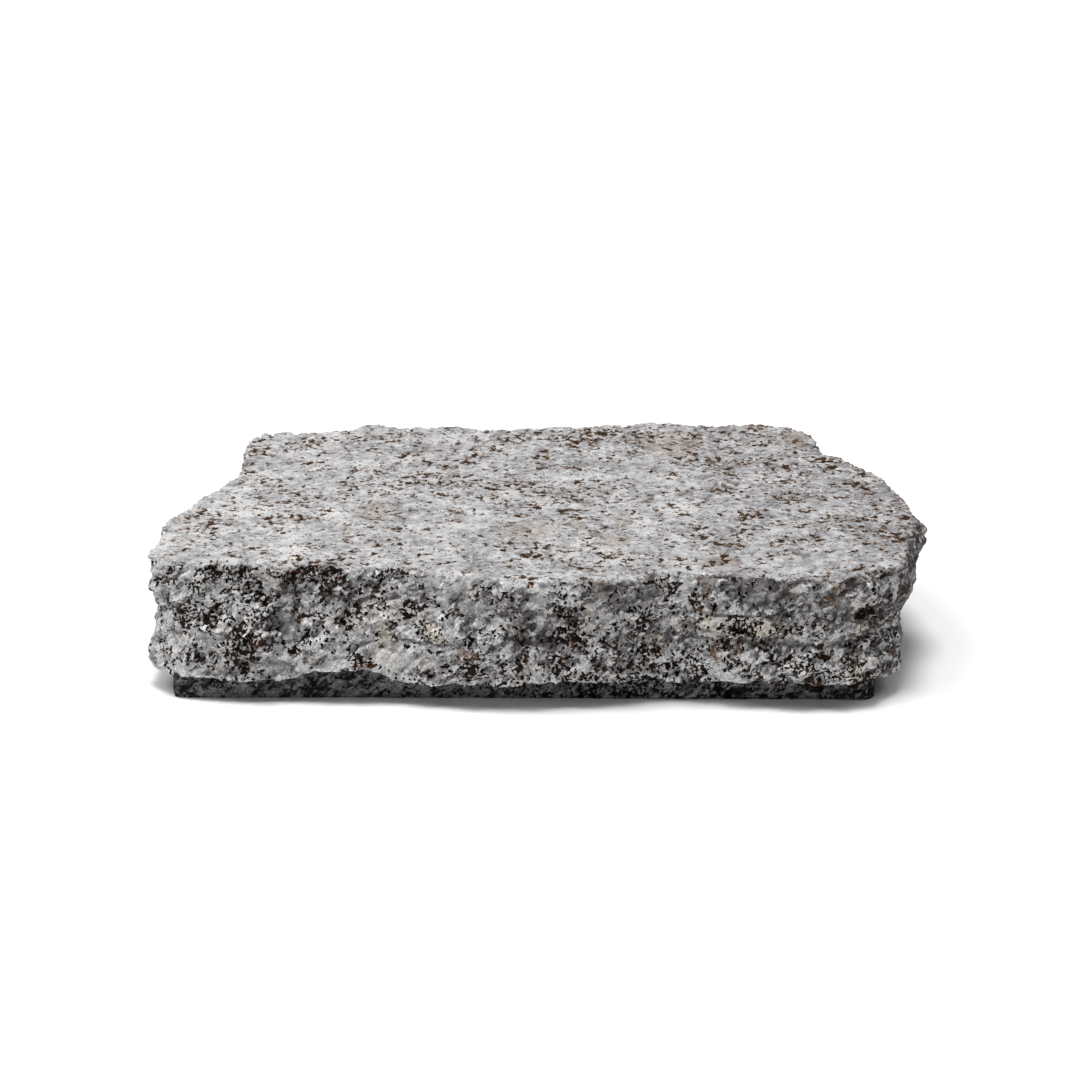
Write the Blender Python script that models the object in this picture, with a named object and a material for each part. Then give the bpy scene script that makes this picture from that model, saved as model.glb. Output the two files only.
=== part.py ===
"""Display stone: a flat-topped slab of medium-grained granite with broken sides.

The whole stone is one solid. Its top is flat, its four sides are split and chipped by
hand, and under them it steps in to a narrower foot with a flat sole. The sides are a
loft between the rim of the top and the lip above the foot. Chips, ledges and swells are
named below by where they are; the unnamed small ones come from seeded noise.

Millimetres are used for the dimensions and changed to metres when the mesh is made.
X runs along the stone, Y from the front to the back, Z up from the sole.
"""
import math

import bmesh
import bpy
from mathutils import Vector, geometry, kdtree, noise

METRE = 0.001
COLLECTION = "display_stone"
NODE = "stone"

# Driving dimensions, in millimetres
HEIGHT = 56.0
TOP_LEVEL = 55.0
LIP_HEIGHT = 9.0
FOOT_TOP = 12.0
SOLE_STEP = 30.0
TOP_STEP = 9.0
STATIONS = {"front": 96, "right": 48, "back": 50, "left": 40}

# The rim of the top, seen from above, anticlockwise from the front left corner
RIM = {
    "front": [
        (-160, -69), (-152, -71), (-142, -78), (-137, -79), (-130, -76), (-113, -78),
        (-103, -87), (-97, -78), (-85, -78), (-79, -82), (-60, -79), (-49, -87),
        (-33, -90), (-18, -95), (-5, -97), (1, -97), (6, -95), (17, -94), (23, -91),
        (35, -95), (39, -95), (44, -88), (65, -88), (79, -92), (100, -92), (116, -95),
        (127, -90), (137, -82), (145, -79), (149, -72),
    ],
    "right": [
        (149, -72), (151, -54), (153, -42), (157, -32), (159, -26), (157, -17), (156, -2),
        (153, 12), (151, 24), (145, 35), (140, 44), (134, 54), (126, 58), (125, 73),
        (124, 87), (116, 95),
    ],
    "back": [
        (116, 95), (104, 99), (91, 97), (75, 99), (58, 101), (50, 100), (37, 99), (23, 98),
        (-5, 95), (-18, 93), (-40, 95), (-65, 96), (-79, 99), (-86, 94), (-110, 88),
        (-127, 87),
    ],
    "left": [
        (-127, 87), (-133, 78), (-134, 60), (-132, 37), (-139, 13), (-147, 0), (-150, -12),
        (-154, -23), (-158, -26), (-158, -40), (-157, -56), (-160, -62), (-160, -69),
    ],
}

# The lip, where the sides turn under, on the same four sides
LIP = {
    "front": [
        (-160, -74), (-151, -85), (-143, -89), (-120, -92), (-109, -91), (-98, -92),
        (-80, -93), (-64, -92), (-57, -93), (-45, -95), (-26, -97), (-14, -99), (-6, -95),
        (2, -95), (14, -93), (24, -94), (35, -91), (48, -88), (62, -90), (75, -92),
        (92, -93), (106, -97), (119, -96), (130, -93), (141, -87), (148, -79),
    ],
    "right": [
        (148, -79), (148, -50), (147, -20), (145, 8), (138, 33), (128, 50), (120, 62),
        (119, 84), (112, 92),
    ],
    "back": [(112, 92), (80, 96), (50, 97), (10, 94), (-30, 91), (-75, 95), (-120, 86)],
    "left": [(-120, 86), (-131, 70), (-129, 38), (-141, 8), (-152, -24), (-158, -55), (-160, -74)],
}

# The foot under the lip, on the same four sides
FOOT = {
    "front": [(-151, -87), (-60, -87), (136, -89)],
    "right": [(136, -89), (138, -50), (137, -20), (134, 6), (128, 30), (118, 46), (110, 60), (108, 82)],
    "back": [(108, 82), (50, 86), (10, 84), (-30, 81), (-110, 77)],
    "left": [(-110, 77), (-121, 66), (-119, 38), (-130, 8), (-142, -24), (-149, -55), (-151, -87)],
}

# Outward bulge of the sides from the straight line between rim and lip: (height, bulge)
PROFILE = {
    "front": [(56, 0), (48, 0.5), (40, 0.5), (32, 1.0), (24, 1.5), (16, 1.5), (9, 0)],
    "right": [(56, 0), (50, 3.4), (44, 3.8), (37, 3.2), (31, 2.2), (25, 0.5), (18, -0.8), (9, 0)],
    "back": [(56, 0), (46, 0.5), (36, -1.0), (26, -2.0), (18, 0.5), (9, 0)],
    "left": [(56, 0), (50, 0.6), (42, 1.2), (36, 1.0), (31, -0.6), (26, -0.6), (20, 0.6), (12, 1.2), (9, 0.4)],
}

# Sections of the foot: (height, inset), its bottom corner rounded off
FOOT_SECTIONS = [(FOOT_TOP, 0.6), (6.0, 0.0), (1.2, 0.0), (0.0, 0.8)]

# Heights of the sections through the sides
LEVELS = [HEIGHT, 53.8, 50, 46, 42, 38, 34, 31, 28, 24, 20, 16, 12.5]

# Arch in the front of the lip: place, half its width, and rise
ARCH = (-80.0, 20.0, 4.5)

# Chips (minus) and swells (plus) in the sides: (place along the side, height, half width,
# half height, rise). The place is x on the front and the back, and y on the right and the left.
RELIEF = {
    "front": [
        (-108, 43, 34, 12, -4.0), (-132, 14, 20, 6, -3.0), (-101, 28, 10, 5, -3.2),
        (-92, 17, 9, 9, -2.6), (-152, 33, 8, 8, -1.2), (-62, 46, 22, 8, -2.4),
        (-70, 24, 18, 7, -1.6), (-28, 45, 18, 8, -1.8), (8, 38, 25, 11, -4.2),
        (-6, 46, 14, 7, -2.0), (44, 49, 8, 7, -4.5), (52, 37, 12, 9, -2.6),
        (60, 14, 26, 7, -2.8), (82, 45, 20, 7, -2.0), (112, 41, 18, 9, -2.2),
        (141, 29, 15, 7, -4.0),
        (-118, 29, 22, 8, 1.8), (-40, 30, 30, 10, 1.6), (95, 19, 40, 9, 2.6),
        (30, 24, 22, 7, 1.4), (130, 17, 18, 8, 1.6),
    ],
    "right": [
        (-32, 49, 18, 9, 3.0), (-74, 30, 16, 8, -4.0), (-12, 30, 20, 10, -2.0),
        (22, 38, 22, 12, -3.0), (50, 24, 20, 10, -2.4), (70, 40, 16, 12, -2.6), (12, 18, 22, 8, 2.0),
    ],
    "back": [
        (-90, 38, 26, 12, -3.4), (-40, 22, 24, 9, -2.8), (-10, 44, 20, 9, -2.2),
        (30, 30, 28, 11, -3.6), (72, 42, 18, 9, -2.4), (88, 18, 22, 8, -2.6),
        (-62, 16, 22, 7, 2.2), (4, 18, 26, 8, 2.4), (58, 22, 16, 7, 1.8),
    ],
    "left": [
        (60, 40, 20, 12, -2.8), (20, 24, 24, 10, -3.2), (-18, 42, 18, 9, -2.2),
        (-42, 22, 16, 8, -1.6), (44, 18, 18, 7, 2.0), (-2, 34, 16, 7, 1.6),
    ],
}

# Level groove along the right half of the front: (from x, to x, height, depth)
GROOVE = (26.0, 132.0, 29.0, 1.8)

GROOVE_ENDS = 12.0
GROOVE_HALF_HEIGHT = 3.0

# Broken facets of the sides: cell size along and up, slope, most rise and step between cells
FACET_CELL = (19.0, 9.5)
FACET_SLOPE = 0.28
FACET_LIMIT = 1.4
FACET_STEP = 1.6

# Uneven relief: (size of its bumps, rise)
SIDE_ROUGH = (7.0, 0.75)
RIM_ROUGH = (4.0, 0.9)
LIP_ROUGH = (6.0, 0.8)
LIP_WAVES = (16.0, 0.9)
FOOT_ROUGH = (11.0, 0.5)
TOP_SWELLS = (38.0, 0.35)
TOP_RIPPLES = (9.0, 0.25)

# Depths below the top over which the ragged rim and the straight edge die away
RAGGED_DEPTH = 22.0
EDGE_DEPTH = 5.0

# Passes that even out an outline, and stations over which two sides blend at a corner
SIDE_SOFTENING = 40
FOOT_SOFTENING = 2
FOOT_NORMAL_SOFTENING = 10
CORNER_REACH = 5

# Pits in the top: (x, y, radius, depth)
TOP_PITS = [(-73, -18, 9, 0.9), (-41.5, 67, 9, 0.7), (-14.5, 16.5, 9, 0.8), (18, -42, 9, 0.6)]

# Knobs on the top beside the back rim, in the same terms
TOP_KNOBS = [(54, 101, 12, 1.4), (95, 98, 12, 1.0), (-79, 99, 10, 0.8), (-40, 95, 9, 0.6)]

GRANITE_COLOUR = (0.36, 0.35, 0.345, 1.0)
GRANITE_ROUGHNESS = 0.72


def clear_scene():
    """Remove every object that the file starts with."""
    for thing in list(bpy.data.objects):
        bpy.data.objects.remove(thing, do_unlink=True)


def interpolate(table, at):
    """Read a value from (place, value) pairs, straight between them."""
    pairs = sorted(table)
    if at <= pairs[0][0]:
        return pairs[0][1]
    for (low, first), (high, last) in zip(pairs, pairs[1:]):
        if at <= high:
            return first + (last - first) * (at - low) / (high - low)
    return pairs[-1][1]


def divide(points, count):
    """Split a polyline into equal steps, leaving out its last point."""
    corners = [Vector(point) for point in points]
    lengths = [(b - a).length for a, b in zip(corners, corners[1:])]
    total = sum(lengths)
    stations = []
    for index in range(count):
        along = total * index / count
        leg = 0
        while along > lengths[leg]:
            along -= lengths[leg]
            leg += 1
        stations.append(corners[leg].lerp(corners[leg + 1], along / lengths[leg]))
    return stations


def ring_of(outline):
    """The stations of all four sides as one closed ring."""
    ring = []
    for side, count in STATIONS.items():
        ring += divide(outline[side], count)
    return ring


def softened(ring, passes):
    """The ring with its small steps evened out."""
    for _ in range(passes):
        ring = [
            ring[i] * 0.5 + (ring[i - 1] + ring[(i + 1) % len(ring)]) * 0.25
            for i in range(len(ring))
        ]
    return ring


def outward(ring):
    """Unit vectors pointing out of an anticlockwise ring."""
    normals = []
    for i in range(len(ring)):
        along = ring[(i + 1) % len(ring)] - ring[i - 1]
        normals.append(Vector((along.y, -along.x)).normalized())
    return normals


def side_weights():
    """For each station, how much it belongs to each side, blended at the corners."""
    names = [side for side, count in STATIONS.items() for _ in range(count)]
    weights = []
    for i in range(len(names)):
        near = [names[(i + k) % len(names)] for k in range(-CORNER_REACH, CORNER_REACH + 1)]
        weights.append({side: near.count(side) / len(near) for side in STATIONS})
    return weights


def dome(across, up):
    """A round hump, 1 in the middle and 0 from its edge outwards."""
    return max(0.0, 1.0 - across * across - up * up)


def lip_height(point):
    """Height of the lip: level, but for the arch and small waves."""
    middle, half, rise = ARCH
    arch = 0.0
    if point.y < 0:
        arch = rise * min(1.0, 2.0 * dome((point.x - middle) / half, 0.0))
    size, rise = LIP_WAVES
    wave = noise.noise(Vector((point.x, point.y, 0)) / size + Vector((3.1, 7.7, 1.3)))
    return LIP_HEIGHT + arch + rise * wave


def named_relief(side, point, height):
    """Outward relief of one side from its named chips and swells, and the front's groove."""
    along = point.x if side in ("front", "back") else point.y
    relief = 0.0
    for middle, level, half_width, half_height, rise in RELIEF[side]:
        relief += rise * dome((along - middle) / half_width, (height - level) / half_height)
    start, end, level, depth = GROOVE
    if side == "front" and start < along < end:
        fade = min(1.0, (along - start) / GROOVE_ENDS, (end - along) / GROOVE_ENDS)
        relief -= depth * fade * max(0.0, 1.0 - abs(height - level) / GROOVE_HALF_HEIGHT)
    return relief


def facets(point, height):
    """Flat broken facets: each cell of the side is a plane with a tilt of its own."""
    along, up = FACET_CELL
    place = Vector((point.x / along, point.y / along, height / up)) + Vector((5.3, 2.9, 8.1))
    centres = noise.voronoi(place)[1]
    centre = centres[0]
    tilt = noise.noise_vector(centre * 3.7) * FACET_SLOPE
    away = place - centre
    rise = tilt.x * away.x * along + tilt.y * away.y * along + tilt.z * away.z * up
    step = noise.noise(centre * 5.1) * FACET_STEP
    return max(-FACET_LIMIT, min(FACET_LIMIT, rise + step))


def rough(point, height, bumps, seed):
    """Small uneven relief, its bumps given by their size and rise."""
    size, rise = bumps
    place = Vector((point.x, point.y, height)) / size + Vector((seed, 0.0, 0.0))
    return rise * noise.fractal(place, 0.6, 2.1, 3)


def side_ring(level, rim, soft_rim, lip, normals, weights):
    """One section through the sides, at a height between the rim and the lip."""
    ring = []
    for i in range(len(rim)):
        share = (HEIGHT - level) / (HEIGHT - LIP_HEIGHT)
        ragged = max(0.0, 1.0 - (HEIGHT - level) / RAGGED_DEPTH)
        base = soft_rim[i].lerp(lip[i], share) + (rim[i] - soft_rim[i]) * ragged
        bulge = sum(weights[i][side] * interpolate(PROFILE[side], level) for side in weights[i])
        relief = facets(base, level) + rough(base, level, SIDE_ROUGH, 2.0)
        relief += sum(weights[i][side] * named_relief(side, base, level) for side in weights[i])
        near_rim = min(1.0, (HEIGHT - level) / EDGE_DEPTH)
        edge = rough(base, 0.0, RIM_ROUGH, 9.0) * (1.0 - near_rim)
        place = base + normals[i] * (bulge + relief * near_rim + edge)
        drop = lip_height(place) - LIP_HEIGHT
        height = level + drop * share * share
        if level == HEIGHT:
            height = top_height(place)
        ring.append(Vector((place.x, place.y, height)))
    return ring


def top_height(point):
    """Height of the top: flat, with slow swells and a few shallow pits."""
    height = TOP_LEVEL
    for seed, (size, rise) in ((0.0, TOP_SWELLS), (5.0, TOP_RIPPLES)):
        height += rise * noise.noise(Vector((point.x, point.y, seed)) / size)
    for x, y, radius, depth in TOP_PITS:
        height -= depth * dome((point.x - x) / radius, (point.y - y) / radius)
    for x, y, radius, rise in TOP_KNOBS:
        height += rise * dome((point.x - x) / radius, (point.y - y) / radius)
    return min(height, HEIGHT)


def cap(mesh, ring, step, height_at, facing_up):
    """Close a ring of vertices with triangles over an even triangular grid."""
    rim = [vertex.co.xy for vertex in ring]
    low_x, high_x = min(p.x for p in rim), max(p.x for p in rim)
    low_y, high_y = min(p.y for p in rim), max(p.y for p in rim)
    row_step = step * math.sqrt(0.75)
    room = kdtree.KDTree(len(rim))
    for i, point in enumerate(rim):
        room.insert((point.x, point.y, 0.0), i)
    room.balance()
    inner = []
    for row in range(int((high_y - low_y) / row_step) + 1):
        y = low_y + row * row_step
        shift = step * 0.5 * (row % 2)
        for column in range(int((high_x - low_x) / step) + 1):
            point = Vector((low_x + shift + column * step, y))
            if inside(point, rim) and room.find((point.x, point.y, 0.0))[2] > step * 0.55:
                inner.append(point)
    edges = [(i, (i + 1) % len(rim)) for i in range(len(rim))]
    points, _, faces = geometry.delaunay_2d_cdt(rim + inner, edges, [], 1, 1e-6)[:3]
    vertices = list(ring)
    for point in points[len(rim):]:
        vertices.append(mesh.verts.new((point.x, point.y, height_at(point))))
    for face in faces:
        corners = [vertices[i] for i in face]
        mesh.faces.new(corners if facing_up else corners[::-1])


def inside(point, ring):
    """Whether a point is inside a closed ring."""
    crossings = 0
    for a, b in zip(ring, ring[1:] + ring[:1]):
        if (a.y > point.y) != (b.y > point.y):
            if point.x < a.x + (b.x - a.x) * (point.y - a.y) / (b.y - a.y):
                crossings += 1
    return crossings % 2 == 1


def stone_rings():
    """All sections of the stone, from the rim of the top down to the sole."""
    rim = ring_of(RIM)
    soft_rim = softened(rim, SIDE_SOFTENING)
    lip = ring_of(LIP)
    weights = side_weights()
    normals = outward(softened(lip, SIDE_SOFTENING))
    rings = [side_ring(level, rim, soft_rim, lip, normals, weights) for level in LEVELS]

    lip_ring = []
    for base, normal in zip(lip, normals):
        place = base + normal * rough(base, 0.0, LIP_ROUGH, 4.0)
        lip_ring.append(Vector((place.x, place.y, lip_height(place))))
    rings.append(lip_ring)

    foot = softened(ring_of(FOOT), FOOT_SOFTENING)
    foot_normals = outward(softened(foot, FOOT_NORMAL_SOFTENING))
    for height, inset in FOOT_SECTIONS:
        section = []
        for base, normal in zip(foot, foot_normals):
            place = base - normal * (inset + rough(base, height, FOOT_ROUGH, 6.0))
            rise = lip_height(base) - LIP_HEIGHT if height == FOOT_TOP else 0.0
            section.append(Vector((place.x, place.y, height + rise)))
        rings.append(section)
    return rings


def middle_of(mesh):
    """The middle of a mesh's outline in plan."""
    x = [vertex.co.x for vertex in mesh.verts]
    y = [vertex.co.y for vertex in mesh.verts]
    return Vector(((min(x) + max(x)) / 2, (min(y) + max(y)) / 2, 0.0))


def make_stone():
    """The stone as one closed mesh, rings lofted and both ends capped."""
    mesh = bmesh.new()
    rings = [[mesh.verts.new(point) for point in ring] for ring in stone_rings()]
    for upper, lower in zip(rings, rings[1:]):
        for i in range(len(upper)):
            j = (i + 1) % len(upper)
            mesh.faces.new((upper[i], lower[i], lower[j], upper[j]))
    cap(mesh, rings[0], TOP_STEP, top_height, True)
    cap(mesh, rings[-1], SOLE_STEP, lambda point: 0.0, False)
    bmesh.ops.triangulate(mesh, faces=mesh.faces[:])
    bmesh.ops.translate(mesh, vec=-middle_of(mesh), verts=mesh.verts[:])
    bmesh.ops.scale(mesh, vec=(METRE, METRE, METRE), verts=mesh.verts[:])
    data = bpy.data.meshes.new(NODE)
    mesh.to_mesh(data)
    mesh.free()
    return bpy.data.objects.new(NODE, data)


def granite():
    """Pale grey granite, matt."""
    material = bpy.data.materials.new("granite")
    material.use_nodes = True
    shader = material.node_tree.nodes["Principled BSDF"]
    shader.inputs["Base Color"].default_value = GRANITE_COLOUR
    shader.inputs["Roughness"].default_value = GRANITE_ROUGHNESS
    shader.inputs["Metallic"].default_value = 0.0
    return material


def main():
    clear_scene()
    collection = bpy.data.collections.new(COLLECTION)
    bpy.context.scene.collection.children.link(collection)
    stone = make_stone()
    stone.data.materials.append(granite())
    collection.objects.link(stone)


main()
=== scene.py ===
"""Dress the display stone: crystals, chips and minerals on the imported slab, on a white floor.

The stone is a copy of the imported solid, cut into fine triangles and roughened by a Geometry
Nodes tree that reads the same crystal pattern as its material. Every pattern is laid out in
millimetres, from where the surface lay before it was roughened, so the crystals in the mesh and
in the colour fall together. Ledges, cracks and stains that stand out are listed by their places.
"""
import math

import bmesh
import bpy
import numpy as np
from bpy.props import FloatProperty, FloatVectorProperty, PointerProperty
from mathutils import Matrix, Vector, geometry, kdtree
from mathutils.bvhtree import BVHTree


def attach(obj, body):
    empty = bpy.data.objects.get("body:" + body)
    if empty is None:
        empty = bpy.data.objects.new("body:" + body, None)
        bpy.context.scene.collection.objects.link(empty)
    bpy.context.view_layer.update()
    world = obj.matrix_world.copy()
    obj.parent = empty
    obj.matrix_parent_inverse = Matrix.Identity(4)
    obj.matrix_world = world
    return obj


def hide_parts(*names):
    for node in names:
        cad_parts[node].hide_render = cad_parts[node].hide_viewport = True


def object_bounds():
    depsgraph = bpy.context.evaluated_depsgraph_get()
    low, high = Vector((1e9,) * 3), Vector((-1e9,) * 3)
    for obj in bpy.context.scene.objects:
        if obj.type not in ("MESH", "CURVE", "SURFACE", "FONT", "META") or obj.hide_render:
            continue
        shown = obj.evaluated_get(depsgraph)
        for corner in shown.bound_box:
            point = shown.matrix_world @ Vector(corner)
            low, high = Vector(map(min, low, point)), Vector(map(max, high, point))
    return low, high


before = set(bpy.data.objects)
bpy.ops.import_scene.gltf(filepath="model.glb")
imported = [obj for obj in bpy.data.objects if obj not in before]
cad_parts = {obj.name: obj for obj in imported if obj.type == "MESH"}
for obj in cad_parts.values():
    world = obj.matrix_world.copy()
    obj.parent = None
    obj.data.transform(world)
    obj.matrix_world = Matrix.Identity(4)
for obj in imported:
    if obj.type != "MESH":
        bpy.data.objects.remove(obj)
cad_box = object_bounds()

bl_info = {
    "name": "Display Stone",
    "version": (1, 0, 0),
    "blender": (4, 5, 0),
    "location": "View3D > Sidebar > Display Stone",
    "description": "Dresses a display stone as broken granite, and sets its stage",
    "category": "Object",
}

NODE = "stone"
BODY = "root"
PIECE = "granite_stone"

MM = 0.001
LOW = Vector(cad_box[0])
HIGH = Vector(cad_box[1])
SIZE = HIGH - LOW

# Parts of the surface, as numbers on its faces
TOP, FRONT, RIGHT, BACK, LEFT, OVERHANG, FOOT, SOLE = range(8)

# Limits of the parts: heights, and slopes as the upward part of a face's normal
SOLE_BELOW, FOOT_BELOW, OVERHANG_BELOW, TOP_DEPTH = 0.3 * MM, 7.0 * MM, 20.0 * MM, 4.0 * MM
OVERHANG_SLOPE, TOP_SLOPE = -0.6, 0.9

# How finely each part is cut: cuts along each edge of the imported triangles
SIDE_CUTS = {FRONT: 4, RIGHT: 3, BACK: 3, LEFT: 3, OVERHANG: 1, FOOT: 1}
SHORTEST_CUT = 1.3 * MM

# How much of the broken relief each part takes
ROUGHNESS_OF = {TOP: 0.0, FRONT: 1.2, RIGHT: 0.42, BACK: 1.0, LEFT: 0.6}
ROUGHNESS_OF |= {OVERHANG: 0.5, FOOT: 0.22, SOLE: 0.0}

# Widths of the bands along the rim where top and sides share their broad relief, and where the
# fine relief of the sides begins
RIM_BAND, EDGE_BAND = 4.0 * MM, 1.6 * MM

# Height of the band above the lower lip of the sides, and how much lower its relief is
LIP_BAND, LIP_CALM = 5.0 * MM, 0.5

# Ledges of the front, in millimetres: a line of (x, z), how far the stone above it stands out,
# and how far above and below the line that dies away
LEDGES = [
    ([(-150, 32), (-137, 29), (-120, 27), (-111, 25)], 1.7, 6.0, 5.0),
    ([(-121, 28), (-112, 35), (-102, 42)], 1.5, 7.0, 6.0),
    ([(26, 30), (49, 29), (71, 27.8), (91, 26.5), (111, 26.9), (136, 29)], 1.3, 4.0, 3.5),
    ([(-60, 28.5), (-48, 27), (-34, 26.5)], 0.9, 3.0, 3.0),
    ([(-20, 33), (-6, 29), (8, 25.5)], -1.2, 5.0, 4.0),
    ([(60, 41), (76, 38), (100, 40)], 0.8, 4.0, 4.0),
    ([(-92, 44), (-78, 41), (-66, 43)], 0.8, 5.0, 4.0),
]

# Cracks of the front: a line of (x, z), half their width, and their depth
CRACKS = [
    ([(-93, 29.5), (-99, 23), (-108, 14)], 1.5, 1.3),
    ([(9, 44.5), (16, 38.5), (23, 33.5)], 0.6, 0.8),
    ([(-62, 33), (-59, 30), (-60, 27)], 0.6, 0.6),
]

# Places of the front where the relief is lower, in millimetres: (x, z, radius), and by how much
CALM, CALM_SHARE = [(127, 40, 9), (121, 27.5, 8)], 0.8

# Patches where a mineral gathers, in millimetres: on the front (x, z, half width, half height)
# and on the top (x, y, half width, half depth)
PATCHES = {
    ("mica", FRONT): [
        (-148, 59, 2.8, 3.4), (-120, 59, 8.8, 3.6), (-106, 53, 14.5, 3.9), (-84, 51, 5.8, 6.4),
        (-145, 47, 2.9, 2.6), (-133, 40, 3.3, 3.4), (-145, 24, 3.8, 4), (-117, 27, 4.5, 1.8),
        (-96, 27, 2.5, 3.1), (-100, 21, 3.7, 2.6), (-88, 26, 3.3, 2.7), (-62, 53, 7.3, 8.6),
        (-79, 59, 2.9, 3.4), (-49, 43, 6.4, 4.3), (-35, 40, 4.5, 3.9), (-76, 36, 2.4, 2.6),
        (-73, 18, 6.6, 3.3), (-31, 29, 3.8, 2.2), (-27, 17, 2.8, 2.7), (7, 40, 2.8, 2.4),
        (11, 33, 4.2, 2.4), (13, 29, 5.8, 2.6), (29, 34, 3, 2.4), (47, 50, 7.6, 7.7),
        (30, 22, 2.3, 2.5), (47, 16, 13.2, 2.4), (76, 32, 1.9, 2.6), (79, 34, 3.1, 3.9),
        (102, 34, 2.7, 3), (130, 41, 2.7, 3), (114, 56, 1.9, 2.6), (113, 23, 2.8, 2.2),
        (108, 17, 2.6, 1.8), (-15, 49, 2.4, 2.1), (-154, 59, 1.9, 4.3),
    ],
    ("mica", TOP): [
        (-72, -17, 4.2, 8.5), (-14, 16, 5, 5.2), (-41, 68, 3.6, 7.6), (-59, -35, 4.6, 11.8),
        (-36, -14, 3.4, 4.9), (-55, 2, 2.6, 4.4), (20, 8, 3.4, 5), (10, -15, 2.6, 4.9),
        (36, -84, 2.8, 4.4), (79, 8, 3.9, 5.7), (69, 1, 2.8, 3.2), (87, -22, 5, 9.6),
        (113, -44, 3.3, 7), (97, -52, 3.7, 5.8), (106, -57, 2.4, 6.9), (73, -73, 3.6, 6.6),
        (91, -75, 5.1, 6.6), (127, -61, 3.7, 5.1), (145, -46, 3.3, 5.9), (126, -86, 3.6, 6),
        (136, 15, 5.5, 5.8), (128, 40, 3.1, 4), (112, 76, 4.1, 5.6), (50, 79, 5.1, 6.4),
        (67, 62, 3.6, 6.2), (-102, -20, 2.5, 4.2), (-82, 16, 4.6, 5.8), (-106, 45, 4.5, 4.1),
        (-128, -69, 2.9, 4.4), (-99, -68, 2.4, 5), (-116, -29, 4, 4.8), (17, 83, 27.6, 14.2),
    ],
    ("rust", FRONT): [
        (-102, 53, 2.6, 2.4), (-140, 40, 2.6, 4.3), (-31, 23, 4.1, 2.7), (-28, 47, 2, 1.7),
        (-97, 34, 1.5, 1.5), (64, 55, 5.1, 2.6), (65, 48, 1.9, 2.6), (62, 41, 1.9, 2.6),
        (69, 23, 1.9, 4.4), (117, 51, 2.3, 2.1), (115, 45, 1.9, 1.9), (-75, 36, 1.5, 2),
        (-72, 17, 3.5, 2), (78, 24, 1.8, 3.2), (-146, 60, 1.5, 1.9), (131, 43, 2.3, 1.7),
    ],
    ("rust", TOP): [
        (-110, -34, 2.1, 2.9), (-98, -45, 1.9, 2.9), (-154, -27, 2.1, 4.8), (-150, -39, 3, 4.7),
        (-150, -50, 3.3, 4.6), (-151, -62, 3, 6.2), (-127, -69, 2.4, 3.4), (100, 96, 6.1, 6.5),
        (9, 39, 1.7, 2.6),
    ],
    ("quartz", FRONT): [
        (87, 49, 13.7, 7.3), (26, 47, 11.5, 8.2), (-10, 43, 7, 10.3), (-5, 28, 12.8, 2.8),
        (26, 18, 8.5, 5.3), (90, 28, 13.4, 1.5), (118, 27, 14.6, 1.8), (-73, 23, 4.2, 4.1),
        (-110, 26, 12.1, 2.2), (-109, 15, 11, 3.5), (-106, 33, 8.9, 3.9), (125, 22, 3.3, 3.1),
        (31, 27, 8, 2.2), (-153, 50, 2.7, 5.1),
    ],
    ("cream", FRONT): [
        (91, 33, 8.7, 4.3), (131, 34, 6.4, 4.8), (126, 15, 3.8, 5.5), (17, 42, 3.2, 2.9),
        (16, 34, 2.8, 2.2), (-45, 31, 4.7, 3.4), (22, 52, 2.8, 5.4), (45, 27, 6.4, 1.8),
        (-65, 29, 4, 3), (66, 35, 3.2, 3.5), (100, 49, 1.9, 2.6),
    ],
    ("cream", TOP): [
        (18, -57, 6.6, 11.4), (35, 8, 4.8, 7.6), (56, -8, 6.4, 9.2), (44, -36, 5.1, 8.9),
        (-103, -65, 5.7, 8.4), (-99, 70, 8.6, 9.8), (67, -62, 2.4, 6.2), (116, -81, 6, 7.7),
        (-27, -21, 4.2, 6), (-50, 28, 5.3, 7.8), (-131, -15, 10.6, 12.2),
    ],
    ("white", FRONT): [
        (-44, 21, 17.2, 5.7), (99, 21, 12.1, 4.2), (-117, 43, 9, 5.6), (-133, 48, 5.4, 3.9),
        (-119, 33, 4.5, 3.9), (-153, 30, 4.9, 10), (-152, 46, 4.7, 4.8), (-48, 38, 7, 3),
        (68, 38, 4.6, 8.7), (-133, 24, 8.2, 4.8),
    ],
    ("taupe", TOP): [
        (-8, -40, 11, 12.9), (31, -52, 5.8, 8), (9, -60, 2.4, 9.1), (15, -33, 3.1, 5.9),
        (34, -28, 3.8, 6), (-82, -40, 2.5, 5.9), (-73, -17, 7.6, 11), (58, 72, 13.6, 16.8),
        (116, 80, 7.4, 11.4), (72, -75, 8.1, 7.2),
    ],
}
MINERALS = ("mica", "rust", "quartz", "cream", "white", "taupe")


# ---------- settings


def number(name, description, default, **kind):
    """A number that a user can change."""
    return FloatProperty(name=name, description=description, default=default, **kind)


def length(name, description, default):
    """A length that a user can change, given in millimetres."""
    return number(name, description, default * MM, unit="LENGTH", subtype="DISTANCE")


def colour(name, description, default):
    """A colour that a user can change."""
    kind = {"subtype": "COLOR", "size": 3, "min": 0.0, "max": 1.0}
    return FloatVectorProperty(name=name, description=description, default=default, **kind)


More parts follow.
